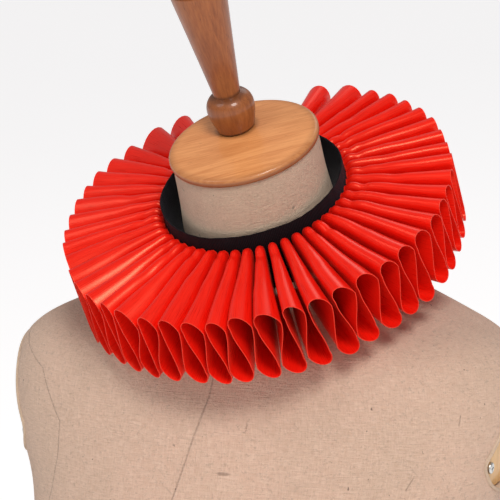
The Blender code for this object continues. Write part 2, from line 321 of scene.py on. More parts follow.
class Value:
    """One value in a finish."""

    def __init__(self, finish, socket):
        self.finish = finish
        self.socket = socket

    def maths(self, operation, *others):
        values = dict(enumerate((self,) + others))
        return self.finish.node("ShaderNodeMath", {"operation": operation}, values)

    def __add__(self, other):
        return self.maths("ADD", other)

    def __sub__(self, other):
        return self.maths("SUBTRACT", other)

    def __rsub__(self, other):
        return (self * -1.0) + other

    def __mul__(self, other):
        return self.maths("MULTIPLY", other)

    def __truediv__(self, other):
        return self.maths("DIVIDE", other)

    __radd__ = __add__
    __rmul__ = __mul__

    def clamped(self):
        """The same value, kept between 0 and 1."""
        self.socket.node.use_clamp = True
        return self

    def between(self, low, high):
        """0 below low, 1 above high, and smooth between them."""
        return self.finish.node(
            "ShaderNodeMapRange",
            {"interpolation_type": "SMOOTHSTEP"},
            {"Value": self, "From Min": low, "From Max": high},
        )


class Finish:
    """A material, written as sums."""

    def __init__(self, name, **settings):
        self.material = bpy.data.materials.new(name)
        self.material.use_nodes = True
        self.tree = self.material.node_tree
        self.shader = self.tree.nodes["Principled BSDF"]
        for socket, value in settings.items():
            self.drive(socket.replace("_", " "), value)

    def node(self, kind, settings=None, inputs=None, output=0):
        """Adds a node: its settings first, then its sockets' values or links."""
        made = self.tree.nodes.new(kind)
        for key, setting in (settings or {}).items():
            setattr(made, key, setting)
        for socket, value in (inputs or {}).items():
            self.join(value, made.inputs[socket])
        return Value(self, made.outputs[output])

    def join(self, value, socket):
        if isinstance(value, Value):
            self.tree.links.new(value.socket, socket)
        elif isinstance(value, tuple) and socket.type == "RGBA":
            socket.default_value = (*value[:3], 1.0)
        else:
            socket.default_value = value

    def drive(self, socket, value):
        self.join(value, self.shader.inputs[socket])

    def mix(self, share, first, second):
        """A colour between two colours."""
        made = self.tree.nodes.new("ShaderNodeMix")
        made.data_type = "RGBA"
        self.join(share, made.inputs[0])
        self.join(first, made.inputs[6])
        self.join(second, made.inputs[7])
        return Value(self, made.outputs[2])

    def place(self, turn=(0.0, 0.0, 0.0), middle=(0.0, 0.0, 0.0), stretch=(1.0, 1.0, 1.0), uv=False):
        """Object coordinates, or the piece's own UV map, centred, turned and stretched."""
        source = self.node("ShaderNodeTexCoord", output=2 if uv else 3)
        moved = self.node(
            "ShaderNodeVectorMath",
            {"operation": "SUBTRACT"},
            {0: source, 1: tuple(middle)},
        )
        turned = self.node("ShaderNodeMapping", None, {0: moved, 2: tuple(turn)})
        return self.node(
            "ShaderNodeVectorMath",
            {"operation": "MULTIPLY"},
            {0: turned, 1: tuple(stretch)},
        )

    def parts(self, vector):
        """The three numbers of a vector."""
        x = self.node("ShaderNodeSeparateXYZ", None, {0: vector})
        outputs = x.socket.node.outputs
        return x, Value(self, outputs[1]), Value(self, outputs[2])

    def speckle(self, where, scale, detail=2.0, rough=0.5, bend=0.0):
        """Soft random light and dark, about 0.5."""
        inputs = {"Vector": where, "Scale": scale, "Detail": detail, "Roughness": rough}
        inputs["Distortion"] = bend
        return self.node("ShaderNodeTexNoise", None, inputs)

    def relief(self, height, depth, strength=1.0):
        """Lets a height between 0 and 1 stand out of the surface by depth metres."""
        inputs = {"Height": height, "Distance": depth, "Strength": strength}
        self.drive("Normal", self.node("ShaderNodeBump", None, inputs))


# %% [markdown]
# ## The floor
#
# A plain pale floor, wide enough to fill the view.

# %% Floor
FLOOR_HALF = 30.0
FLOOR_DOWN = 0.5 * MM  # just under the form's base
FLOOR_GLOW = 0.71
WARM_WHITE = (1.0, 0.985, 0.985)
pale = Finish("pale floor", Roughness=0.9, Emission_Strength=FLOOR_GLOW, Emission_Color=WARM_WHITE)
cloud = pale.speckle(pale.place(), 0.6, 1.0)
pale.drive("Base Color", pale.mix(cloud, (0.50, 0.495, 0.495), (0.53, 0.525, 0.525)))
select_none()
bpy.ops.mesh.primitive_plane_add(size=2.0 * FLOOR_HALF, location=(0.0, 0.0, cad_low.z - FLOOR_DOWN))
floor = bpy.context.object
floor.name = "floor"
floor.data.materials.append(pale.material)

# %% [markdown]
# ## Linen
#
# The form is covered in undyed linen, glued down and gone a little pink and grey with use. It
# is a plain weave: threads pass over and under each other, and here and there one is thicker.
# The threads follow the cloth, so the pattern reads the piece's own UV map, in metres.

# %% Linen finish
THREAD = 0.9 * MM
# Seams and a few dark threads, in metres of the cloth: across and down to a line's start, then
# to its end
SEAM_LINES = [
    (0.7395, 0.239, 0.7385, 0.257),
    (0.7385, 0.257, 0.7330, 0.284),
    (0.7330, 0.284, 0.7230, 0.333),
    (0.2500, 0.200, 0.2500, 0.640),
    (0.5369, 0.233, 0.5994, 0.253),
    (0.5994, 0.253, 0.6300, 0.286),
    (0.6300, 0.286, 0.6257, 0.309),
    (0.6257, 0.309, 0.6080, 0.345),
    (0.7575, 0.272, 0.7555, 0.279),
    (0.8640, 0.303, 0.8600, 0.311),
    (0.9000, 0.265, 0.8985, 0.271),
]
STAIN = (0.7486, 0.3061)  # across and down to the middle of a small stain
NECK_ENDS = (0.045, 0.075)  # how far down the cloth the neck's greener tint fades out


def line_distance(across, down, line):
    """How far a point of the cloth is from a line on it."""
    start, top, end, bottom = line
    run, fall = end - start, bottom - top
    part = (((across - start) * run + (down - top) * fall) / (run * run + fall * fall)).clamped()
    aside = across - start - part * run
    below = down - top - part * fall
    return (aside * aside + below * below).maths("SQRT")


def linen_finish():
    linen = Finish("linen", Sheen_Weight=0.15, Sheen_Roughness=0.5, Specular_IOR_Level=0.2)
    cloth = linen.place(turn=(0.0, 0.0, radians(8.0)), uv=True)
    waver = linen.speckle(cloth, 70.0, 2.0)
    across, down, _ = linen.parts(cloth)
    warp = ((across / THREAD + waver * 2.2) * 2.0 * pi).maths("SINE") * 0.5 + 0.5
    weft = ((down / THREAD + waver * 2.2) * 2.0 * pi).maths("SINE") * 0.5 + 0.5
    thick_weft = linen.speckle(linen.place(stretch=(1.0, 12.0, 1.0), uv=True), 110.0, 4.0, 0.62)
    thick_warp = linen.speckle(linen.place(stretch=(12.0, 1.0, 1.0), uv=True), 110.0, 4.0, 0.62)
    long_weft = linen.speckle(linen.place(stretch=(1.0, 30.0, 1.0), uv=True), 32.0, 3.0, 0.6)
    slant = linen.place(turn=(0.0, 0.0, radians(-38.0)), stretch=(1.0, 7.0, 1.0), uv=True)
    wrinkle = linen.speckle(slant, 42.0, 5.0, 0.7, 0.6)
    solid = linen.place()
    cloud = linen.speckle(solid, 9.0, 3.0)
    grime = linen.speckle(solid, 26.0, 4.0, 0.6)
    pit = linen.speckle(solid, 420.0, 3.0, 0.7)
    speck = linen.speckle(linen.place(stretch=(1.0, 1.0, 0.6)), 210.0, 2.0, 0.6)
    flat_across, flat_down, _ = linen.parts(linen.place(uv=True))
    seam = line_distance(flat_across, flat_down, SEAM_LINES[0])
    for line in SEAM_LINES[1:]:
        seam = seam.maths("MINIMUM", line_distance(flat_across, flat_down, line))
    shake = linen.speckle(cloth, 260.0, 3.0, 0.7)
    seam = seam + (shake - 0.5) * (1.6 * MM)
    seam = (1.0 - seam.between(0.25 * MM, 0.75 * MM)) * shake.between(0.34, 0.5)
    across_stain, down_stain = flat_across - STAIN[0], flat_down - STAIN[1]
    stain = (across_stain * across_stain + down_stain * down_stain * 5.0).maths("SQRT")
    stain = 1.0 - (stain + (shake - 0.5) * (5.0 * MM)).between(1.3 * MM, 3.4 * MM)
    base = linen.mix(cloud.between(0.35, 0.7), (0.700, 0.460, 0.340), (0.615, 0.420, 0.305))
    thread = thick_weft.between(0.40, 0.62) * 0.55 + thick_warp.between(0.40, 0.62) * 0.45
    base = linen.mix(thread * 0.6, base, (0.84, 0.62, 0.49))
    dark_thread = (1.0 - long_weft.between(0.30, 0.42)) * 0.5
    dark_thread = dark_thread + (1.0 - wrinkle.between(0.26, 0.40)) * 0.7
    base = linen.mix(dark_thread * 0.38, base, (0.32, 0.22, 0.17))
    base = linen.mix(pit.between(0.55, 0.68) * 0.42, base, (0.40, 0.275, 0.21))
    base = linen.mix(seam * 0.40 + stain * 0.6, base, (0.22, 0.14, 0.10))
    base = linen.mix(grime.between(0.58, 0.8) * 0.3, base, (0.42, 0.30, 0.23))
    base = linen.mix(speck.between(0.725, 0.76) * 0.75, base, (0.10, 0.07, 0.06))
    neck = 1.0 - flat_down.between(*NECK_ENDS)
    base = linen.mix(neck * 0.4, base, linen.mix(thick_weft, (0.50, 0.40, 0.26), (0.74, 0.58, 0.40)))
    linen.drive("Base Color", base)
    linen.drive("Roughness", thread * 0.06 + 0.88)
    weave = (warp + weft) * 0.2 + thread * 0.45 + long_weft.between(0.3, 0.7) * 0.3
    weave = weave + wrinkle.between(0.3, 0.6) * 0.25 + pit.between(0.35, 0.65) * 0.5 - seam * 0.8
    weave = weave + neck * thick_weft * 0.6
    linen.relief(weave, 0.6 * MM, 1.0)
    return linen.material


linen = linen_finish()

# %% [markdown]
# ## The covered form
#
# The form has no simple shape, so it is drawn as a tailor measures it: girths from the neck down.
# Each row is one girth, with how far it lies from the cap, how wide it is and how deep at the
# front and the back. A smooth curve through the rows gives the fine ones between them, and the
# linen is a thin shell through all of them.

# %% Girths of the form
# Centre x, y and z, half width, depth to the front and to the back, lean, squareness, drop to the
# form's left; millimetres from the datum, and degrees
GIRTHS = [
    (0.8, 2.1, -2.7, 50.2, 50.2, 50.6, 20.5, 2.0, -2.4),
    (0.5, 10.7, -28.6, 50.9, 51.2, 52.0, 20.5, 2.0, -1.6),
    (0.0, 18.6, -49.7, 52.8, 52.0, 55.0, 20.5, 2.0, -0.6),
    (-0.4, 26.0, -67.5, 54.0, 49.5, 57.0, 20.0, 2.0, 0.6),
    (-0.8, 34.5, -88.5, 57.5, 49.5, 60.0, 14.0, 2.0, 1.4),
    (-1.4, 38.0, -104.5, 82.0, 51.5, 66.0, 8.0, 2.0, 2.3),
    (-1.9, 34.0, -115.5, 117.5, 54.0, 75.0, 4.0, 2.0, 2.4),
    (-2.3, 27.0, -126.0, 149.5, 57.0, 83.0, 1.0, 2.0, 2.4),
    (-2.7, 20.0, -135.0, 169.0, 57.0, 93.0, 0.0, 2.05, 2.4),
    (-3.2, 13.0, -147.0, 180.0, 57.0, 104.0, 0.0, 2.1, 2.4),
    (-3.9, 7.0, -166.0, 184.0, 57.0, 118.0, 0.0, 2.2, 2.4),
    (-4.6, 2.0, -190.0, 184.0, 60.0, 129.0, 0.0, 2.3, 2.4),
    (-5.3, 0.0, -214.0, 178.5, 69.0, 133.0, 0.0, 2.35, 2.4),
    (-6.0, 2.0, -238.0, 171.5, 87.0, 131.0, 0.0, 2.4, 2.4),
    (-6.6, 10.0, -266.0, 168.5, 116.0, 122.0, 0.0, 2.5, 2.1),
    (-6.8, 18.0, -305.0, 168.5, 134.0, 111.0, 0.0, 2.5, 1.6),
    (-6.2, 22.0, -352.0, 155.0, 126.0, 100.0, 0.0, 2.3, 1.0),
    (-4.6, 24.0, -410.0, 133.0, 103.0, 84.0, 0.0, 2.25, 0.4),
    (-2.6, 22.0, -465.0, 120.0, 88.0, 76.0, 0.0, 2.25, 0.0),
    (-1.0, 20.0, -515.0, 133.0, 88.0, 84.0, 0.0, 2.25, 0.0),
    (0.0, 20.0, -560.0, 146.0, 94.0, 92.0, 0.0, 2.25, 0.0),
]
ROUND = 176  # points round a girth
ROWS_BETWEEN = 6
LINEN_THICK = 0.8 * MM


def signed_power(value, exponent):
    return (1.0 if value >= 0.0 else -1.0) * abs(value) ** exponent


def girth_point(row, turn):
    """A point of one girth, in metres."""
    centre_x, centre_y, centre_z, half, front, back_depth, lean, square, drop = row
    deep = back_depth if sin(turn) > 0.0 else front
    across = half * signed_power(cos(turn), 2.0 / square)
    along = deep * signed_power(sin(turn), 2.0 / square)
    y = centre_y + along * cos(radians(lean))
    z = centre_z + along * sin(radians(lean)) - across * tan(radians(drop))
    return datum + Vector((centre_x + across, y, z)) * MM


rows = smooth_through(GIRTHS, ROWS_BETWEEN)
columns = []
for k in range(ROUND):
    turn = 2.0 * pi * k / ROUND
    columns.append([girth_point(row, turn) for row in rows])
cover = sheet_from("linen_cover", columns, closed=True)

# %% Run the cloth's threads round and down the form
uv = cover.data.uv_layers.new(name="cloth")
down_length = [0.0]
for a, b in zip(columns[0], columns[0][1:]):
    down_length.append(down_length[-1] + (b - a).length)
GIRTH_METRES = 1.0  # the cloth across one turn of the form
for face in cover.data.polygons:
    column = face.index // (len(rows) - 1)
    for corner in face.loop_indices:
        vertex = cover.data.loops[corner].vertex_index
        k = vertex // len(rows)
        k += ROUND if k == 0 and column == ROUND - 1 else 0
        uv.data[corner].uv = (k / ROUND * GIRTH_METRES, down_length[vertex % len(rows)])
print("cloth from neck to hem:", round(down_length[-1], 3), "m")

# %% [markdown]
# ## The armholes
#
# Each armhole is a flat recess for a wooden plate. The plate is egg shaped, wider at the bottom.
# The recess is cut by a solid of the plate's outline, a little larger, with a Boolean modifier.

# %% Outline of an armhole plate
# Along the form to the back, then up, in millimetres from the armhole's middle
PLATE = [
    (-35.0, -26.0),
    (-34.0, -36.0),
    (-29.0, -43.0),
    (-20.0, -47.5),
    (-6.0, -49.0),
    (8.0, -46.0),
    (20.0, -38.0),
    (29.0, -26.0),
    (34.0, -10.0),
    (36.0, 6.0),
    (34.5, 17.0),
    (29.0, 26.5),
    (19.0, 31.5),
    (8.0, 31.0),
    (-1.0, 25.5),
    (-10.0, 14.5),
    (-18.0, 2.0),
    (-27.0, -12.0),
]
PLATE_THICK = 6.0
RECESS_CLEAR = 0.8  # between the plate and its recess
CUTTER_TALL = 60.0
ARM_OUT = 168.6  # from the torso's middle to the flat face
ARM_MIDDLE = Vector((-4.6, 7.0, -178.0))
ARM_TURN = radians(6.0)
ARM_DROP = radians(4.0)
SIDE_DROP = radians(2.4)  # the torso stands a little lower on its left
SIDES = [("right", -1), ("left", 1)]


def arm_frame(side):
    """Frame of an armhole: X along the form to the back, Y up, Z out."""
    flat = cos(ARM_DROP)
    out = Vector((side * cos(ARM_TURN) * flat, -sin(ARM_TURN) * flat, -sin(ARM_DROP)))
    out.rotate(Matrix.Rotation(SIDE_DROP, 3, "Y"))
    up = (Vector((0.0, 0.0, 1.0)) - out * out.z).normalized()
    along = up.cross(out) * side
    middle = ARM_MIDDLE + Vector((1.0, 0.0, -tan(SIDE_DROP))) * side * ARM_OUT
    middle = datum + middle * MM
    return Matrix.Translation(middle) @ Matrix((along, up, out)).transposed().to_4x4()


def plate_outline(grow, steps):
    """The outline as a smooth closed curve, grown by some millimetres."""
    looped = PLATE[-2:] + PLATE + PLATE[:2]
    fine = smooth_through(looped, steps)[2 * steps : (2 + len(PLATE)) * steps]
    points = []
    for along, up in fine:
        spot = Vector((along, up, 0.0))
        points.append(spot + spot.normalized() * grow)
    return points


def outline_solid(name, points, low, high):
    """A solid with this outline, made by drawing out its bottom face."""
    select_none()
    bpy.ops.mesh.primitive_circle_add(vertices=len(points), radius=1.0, fill_type="NGON")
    solid = bpy.context.object
    solid.name = name
    for vertex, point in zip(solid.data.vertices, points):
        vertex.co = Vector((point.x, point.y, low)) * MM
    bpy.ops.object.mode_set(mode="EDIT")
    bpy.ops.mesh.select_all(action="SELECT")
    rise = {"value": (0.0, 0.0, (high - low) * MM)}
    bpy.ops.mesh.extrude_region_move(TRANSFORM_OT_translate=rise)
    face_outwards()
    return solid


def turn_out(piece, side):
    """On the form's right the frame is a mirror image, so the faces are turned back out."""
    if side < 0:
        piece.data.flip_normals()


# %% Close the shell and cut the recesses
cover_surface = BVHTree.FromObject(cover, bpy.context.evaluated_depsgraph_get())
make_active(cover)
bpy.ops.object.mode_set(mode="EDIT")
bpy.ops.mesh.select_all(action="DESELECT")
bpy.ops.mesh.select_non_manifold()
bpy.ops.mesh.edge_face_add()
face_outwards()
for _, side in SIDES:
    cutter = outline_solid("cutter", plate_outline(RECESS_CLEAR, 4), 0.0, CUTTER_TALL)
    turn_out(cutter, side)
    cutter.data.transform(arm_frame(side))
    cut_away(cover, cutter)
print("cover with its recesses:", len(cover.data.polygons), "faces")

# %% Give the linen its thickness
settle(cover, Matrix.Identity(4), linen, ["form_body"], smooth=35.0)
give_thickness(cover, LINEN_THICK, -1.0)

# %% [markdown]
# ## Rolled edges
#
# At each armhole the linen is turned over a cord. At the neck it just goes under the wooden cap.
# A roll is a round section carried along a closed path. The armhole's path is found by looking
# in from outside, along the way the armhole faces, to where the cover is met.

# %% Rolls of linen
ROLL_SIDES = 10
ROLL_RADIUS = 1.3 * MM
LOOK_FROM = 80.0  # how far out the look along the armhole's way starts


def roll_along(name, path, radius):
    """A closed roll along a closed path, with threads along it."""
    columns = []
    count = len(path)
    middle = sum(path, Vector()) / count
    for i, point in enumerate(path):
        ahead = (path[(i + 1) % count] - path[i - 1]).normalized()
        side = (point - middle).cross(ahead).normalized()
        rise = ahead.cross(side)
        column = []
        for k in range(ROLL_SIDES):
            a = 2.0 * pi * k / ROLL_SIDES
            column.append(point + (side * cos(a) + rise * sin(a)) * radius)
        column.append(column[0].copy())
        columns.append(column)
    roll = sheet_from(name, columns, closed=True)
    uv = roll.data.uv_layers.new(name="cloth")
    step = (path[1] - path[0]).length
    for face in roll.data.polygons:
        column = face.index // ROLL_SIDES
        for corner in face.loop_indices:
            vertex = roll.data.loops[corner].vertex_index
            i = vertex // (ROLL_SIDES + 1)
            i += count if i == 0 and column == count - 1 else 0
            uv.data[corner].uv = (i * step, vertex % (ROLL_SIDES + 1) / ROLL_SIDES * 2.0 * pi * radius)
    make_active(roll)
    bpy.ops.object.mode_set(mode="EDIT")
    bpy.ops.mesh.select_all(action="SELECT")
    bpy.ops.mesh.remove_doubles(threshold=1e-6)
    face_outwards()
    return roll


def armhole_path(side):
    """Where the cover meets the edge of an armhole's recess."""
    place = arm_frame(side)
    inward = -(place.to_3x3() @ Vector((0.0, 0.0, 1.0)))
    path = []
    for point in plate_outline(RECESS_CLEAR, 8):
        start = place @ (Vector((point.x, point.y, LOOK_FROM)) * MM)
        hit = cover_surface.ray_cast(start, inward)[0]
        flat_point = place @ (Vector((point.x, point.y, 0.0)) * MM)
        path.append(hit if hit and (hit - flat_point).dot(inward) < 0.0 else flat_point)
    return path


for word, side in SIDES:
    roll = roll_along("armhole_roll_" + word, armhole_path(side), ROLL_RADIUS)
    settle(roll, Matrix.Identity(4), linen)

# %% [markdown]
# ## Varnished wood
#
# The cap, the handle and the plates are beech under a warm varnish. Beech has fine straight grain
# with short dark flecks. The varnish is a clear coat on the shader, so the grain stays matt below
# a glossy skin.

# %% Wood finish
UPRIGHT = (-NECK_LEAN, -NECK_SIDE * cos(NECK_LEAN), 0.0)  # brings the neck's axis back to Z


def wood_finish(name, pale, dark, turn, shade=None):
    """Varnished wood. Where shade says so, it is painted darker, as painted shade."""
    wood = Finish(name, Specular_IOR_Level=0.3, Coat_Weight=0.35, Coat_Roughness=0.08, Coat_IOR=1.5)
    along = wood.place(turn=turn, middle=cap_top, stretch=(0.07, 1.0, 1.0))
    board = wood.place(turn=turn, middle=cap_top, stretch=(0.14, 1.0, 1.0))
    fine = wood.speckle(along, 650.0, 5.0, 0.65, 0.3)
    broad = wood.speckle(board, 39.0, 2.0, 0.5, 1.0)
    fleck = wood.speckle(board, 1040.0, 1.0)
    figure = (broad * 26.0).maths("SINE") * 0.5 + 0.5
    tone = wood.mix(figure * 0.4 + fine.between(0.25, 0.75) * 0.6, pale, dark)
    tone = wood.mix(broad.between(0.35, 0.65) * 0.35, tone, pale)
    deep = tuple(0.4 * c for c in dark)
    tone = wood.mix(fleck.between(0.68, 0.76) * 0.4, tone, deep)
    if shade:
        # Painted shade: the wood is darkened where the shade mask says.
        tone = wood.mix(shade(wood, wood.place(turn=UPRIGHT, middle=cap_top)), tone, deep)
    wood.drive("Base Color", tone)
    wood.drive("Roughness", fine * 0.15 + 0.34)
    wood.relief(fine * 0.6 + fleck * 0.4, 0.04 * MM, 0.3)
    return wood.material


CAP_GRAIN = radians(-22.0)  # from the form's left, round the cap
CAP_RADIUS = 52.0
HANDLE_FOOT = Vector((-9.4, 16.0, 0.0))
NECK_OF_GRIP = 27.2  # height over the cap, where the bead meets the grip


def cap_edge_shade(wood, where):
    """Painted shade: darker towards the rim and down its side, and close round the handle's foot."""
    x, y, height = wood.parts(where)
    rim = (x * x + y * y).maths("SQRT").between((CAP_RADIUS - 7.0) * MM, (CAP_RADIUS + 1.5) * MM)
    foot_x, foot_y = x - HANDLE_FOOT.x * MM, y - HANDLE_FOOT.y * MM
    foot = (foot_x * foot_x + foot_y * foot_y).maths("SQRT").between(13.0 * MM, 17.0 * MM)
    return rim * 0.55 + (1.0 - height.between(-3.5 * MM, -1.0 * MM)) * 0.4 + (1.0 - foot) * 0.5


def handle_joint_shade(wood, where):
    """Painted shade: dark in the joint at the foot and in the groove between the bead and the grip."""
    height = wood.parts(where)[2]
    foot = 1.0 - height.between(0.6 * MM, 3.0 * MM)
    groove = 1.0 - (height - NECK_OF_GRIP * MM).maths("ABSOLUTE").between(0.4 * MM, 3.0 * MM)
    return foot * 0.8 + groove * 0.6


cap_turn = (UPRIGHT[0], UPRIGHT[1], CAP_GRAIN)
cap_wood = wood_finish("cap wood", (0.83, 0.36, 0.13), (0.52, 0.165, 0.042), cap_turn, cap_edge_shade)
handle_turn = (UPRIGHT[0], UPRIGHT[1] + radians(90.0), 0.0)
handle_wood = wood_finish(
    "handle wood", (0.34, 0.108, 0.028), (0.16, 0.038, 0.009), handle_turn, handle_joint_shade
)
plate_turn = (0.0, radians(80.0), 0.0)
plate_wood = wood_finish("plate wood", (0.82, 0.50, 0.20), (0.60, 0.31, 0.10), plate_turn)

# %% [markdown]
# ## The neck cap
#
# The cap is a turned disc with a rounded edge. It starts as a cylinder, and both of its edges are
# bevelled in edit mode, the upper one more.

# %% Neck cap
CAP_EDGE_TOP = 2.6 * MM
CAP_EDGE_LOW = 1.6 * MM


def turned_disc(name, radius, tall, sides):
    """A short upright cylinder about its own middle."""
    select_none()
    bpy.ops.mesh.primitive_cylinder_add(
        vertices=sides, radius=radius * MM, depth=tall * MM, end_fill_type="NGON"
    )
    disc = bpy.context.object
    disc.name = name
    return disc


def round_edge(piece, height, size, segments):
    """Bevels the edges of a piece that lie at one height."""
    for part in (piece.data.polygons, piece.data.edges, piece.data.vertices):
        part.foreach_set("select", [False] * len(part))
    for edge in piece.data.edges:
        edge.select = all(abs(piece.data.vertices[v].co.z - height) < 1e-6 for v in edge.vertices)
    bpy.ops.object.mode_set(mode="EDIT")
    bpy.ops.mesh.select_mode(type="EDGE")
    bpy.ops.mesh.bevel(offset=size, segments=segments, affect="EDGES")
    bpy.ops.object.mode_set(mode="OBJECT")


cap = turned_disc("cap", CAP_RADIUS, CAP_THICK, sides=144)
half = CAP_THICK * MM / 2.0
round_edge(cap, half, CAP_EDGE_TOP, segments=6)
round_edge(cap, -half, CAP_EDGE_LOW, segments=6)
cap_place = neck_frame @ Matrix.Translation((0.0, 0.0, -half))
settle(cap, cap_place, cap_wood, ["neck_cap"], smooth=30.0)

# %% [markdown]
# ## The handle
#
# A turner cuts the handle from one stick: a foot, a bead, and a grip that widens upwards to a
# rounded end. It starts as a circle and is drawn up ring by ring, each ring scaled to the turned
# profile, as one would with extrude and scale.

# %% Turned handle
HANDLE = [  # height over the cap, radius
    (0.4, 12.2), (1.4, 13.2), (4.0, 13.8), (9.0, 15.3), (14.0, 16.3), (18.5, 16.4),
    (22.5, 15.2), (25.6, 12.6), (27.2, 9.2), (52.0, 12.2), (80.0, 15.7), (106.0, 19.0),
    (108.6, 18.8), (111.5, 20.0), (117.0, 20.3), (124.0, 17.6), (129.0, 11.6), (131.4, 4.0),
]
NECK_RING = 8  # the row where the bead meets the grip


def draw_up(name, profile, sides):
    """A turned piece: a filled circle, extruded and scaled from row to row."""
    select_none()
    height, radius = profile[0]
    bpy.ops.mesh.primitive_circle_add(
        vertices=sides, radius=radius * MM, fill_type="NGON", location=(0.0, 0.0, height * MM)
    )
    bpy.ops.object.transform_apply(location=True)
    piece = bpy.context.object
    piece.name = name
    bpy.ops.object.mode_set(mode="EDIT")
    bpy.ops.mesh.select_mode(type="FACE")
    bpy.ops.mesh.select_all(action="SELECT")
    for (low, narrow), (high, wide) in zip(profile, profile[1:]):
        rise = {"value": (0.0, 0.0, (high - low) * MM)}
        bpy.ops.mesh.extrude_region_move(TRANSFORM_OT_translate=rise)
        size = wide / narrow
        bpy.ops.transform.resize(value=(size, size, 1.0), center_override=(0.0, 0.0, high * MM))
    face_outwards()
    return piece


foot_and_bead = smooth_through(HANDLE[: NECK_RING + 1], 3)
grip = smooth_through(HANDLE[NECK_RING:], 3)
handle = draw_up("turned_handle", foot_and_bead + grip[1:], sides=72)
handle_place = neck_frame @ Matrix.Translation(HANDLE_FOOT * MM)
settle(handle, handle_place, handle_wood, ["handle"], smooth=50.0)

# %% [markdown]
# ## Armhole plates and screws
#
# Each plate is its outline drawn out to its thickness, with the outer edge eased by a bevel. Two
# round-headed screws hold it, each a short cylinder with a domed edge and a cross cut in its head.

# %% Plates
PLATE_EASE = 1.4 * MM
GAP = 0.3  # between the plate and the linen, and between a screw and the plate

for word, side in SIDES:
    plate = outline_solid("plate_" + word, plate_outline(0.0, 5), GAP, PLATE_THICK)
    round_edge(plate, PLATE_THICK * MM, PLATE_EASE, segments=4)
    turn_out(plate, side)
    settle(plate, arm_frame(side), plate_wood, ["arm_plate_" + word])

# %% Screws
SCREWS = [("front", -28.5, -31.0), ("back", 24.0, 21.0)]  # place, along the form, up
SCREW_RADIUS = 4.0
SCREW_TALL = 1.9
SCREW_EASE = 1.2 * MM
CROSS_LONG, CROSS_WIDE, CROSS_DEEP = 4.6, 0.8, 1.6
steel = Finish("screw steel", Metallic=1.0)
scratch = steel.speckle(steel.place(stretch=(1.0, 6.0, 1.0)), 900.0, 3.0)
steel.drive("Base Color", steel.mix(scratch, (0.58, 0.58, 0.56), (0.72, 0.71, 0.69)))
steel.drive("Roughness", scratch * 0.3 + 0.18)
steel.relief(scratch, 0.02 * MM, 0.4)


def screw_head(name):
    """A round head with a cross cut in it."""
    head = turned_disc(name, SCREW_RADIUS, SCREW_TALL, sides=32)
    top = SCREW_TALL * MM / 2.0
    round_edge(head, top, SCREW_EASE, segments=5)
    for long, wide in ((CROSS_LONG, CROSS_WIDE), (CROSS_WIDE, CROSS_LONG)):
        bpy.ops.mesh.primitive_cube_add(size=1.0, location=(0.0, 0.0, top))
        blade = bpy.context.object
        blade.scale = Vector((long, wide, CROSS_DEEP)) * MM
        cut_away(head, blade)
    return head


for word, side in SIDES:
    for place, along, up in SCREWS:
        screw = screw_head("screw_head_%s_%s" % (word, place))
        turn_out(screw, side)
        rise = PLATE_THICK + GAP + SCREW_TALL / 2.0
        spot = arm_frame(side) @ Matrix.Translation(Vector((along, up, rise)) * MM)
        node = "screw_%s_%s" % (word, place)
        settle(screw, spot, steel.material, [node], smooth=35.0)

# %% [markdown]
# ## Grosgrain
#
# Grosgrain is a ribbon with fine ribs across it, from edge to edge. Its fine warp wraps each rib,
# so it has a low silky sheen. The ribs are a wave along the ribbon's length, which its UV map
# gives in metres, and the woven edges are a little thicker.

# %% Grosgrain finish
RIB = 1.15 * MM


def grosgrain_finish(tall):
    ribbon = Finish("grosgrain", Specular_IOR_Level=0.08, Sheen_Weight=0.05, Sheen_Roughness=0.4)
    ribbon.drive("Sheen Tint", (0.6, 0.5, 0.65))
    along, height, _ = ribbon.parts(ribbon.place(uv=True))
    rib = (along * (2.0 * pi / RIB)).maths("SINE") * 0.5 + 0.5
    thread = ribbon.speckle(ribbon.place(uv=True, stretch=(1.0, 8.0, 1.0)), 900.0, 2.0)
    dust = ribbon.speckle(ribbon.place(), 60.0, 4.0)
    black = ribbon.mix(rib * 0.8 + thread * 0.2, (0.001, 0.001, 0.0012), (0.013, 0.011, 0.014))
    black = ribbon.mix(dust.between(0.55, 0.8) * 0.3, black, (0.02, 0.016, 0.018))
    ribbon.drive("Base Color", black)
    ribbon.drive("Roughness", rib * 0.12 + 0.5)
    edge = height.between(0.0, 1.2 * MM) * (tall - height).between(0.0, 1.2 * MM)
    ribbon.relief(rib * edge + (1.0 - edge) * 0.8, 0.28 * MM, 0.9)
    return ribbon.material


grosgrain = grosgrain_finish(BAND_TALL * MM)

# %% [markdown]
# ## The neckband
#
# The band is a strip that goes once round the neck, and its ends lap over each other at the
# opening. It is a sheet through upright columns, a little wavy along its top edge, because the
# pleats sewn to it pull it in and let it out.

# %% Neckband
BAND_RADIUS = 64.0
BAND_WALL = 0.8
BAND_LAP = radians(20.0)
OPENING = radians(110.5)
BAND_STEPS = 300
BAND_ROWS = 12
LAP_IN = 3.3  # how far the under end steps in
LAP_FROM, LAP_RUN = 0.88, 0.06  # where along the band the step starts, and over how much of it
WAVE_TALL, WAVE_LEAN = 0.5, 0.45  # of the band's top edge
pull = random.Random(4)
pull_phase = [pull.uniform(0.0, 2.0 * pi) for _ in range(3)]


def band_wave(turn):
    """The band's own unevenness, from -1 to 1."""
    return (
        0.5 * sin(5.0 * turn + pull_phase[0])
        + 0.3 * sin(11.0 * turn + pull_phase[1])
        + 0.2 * sin(43.0 * turn + pull_phase[2])
    )


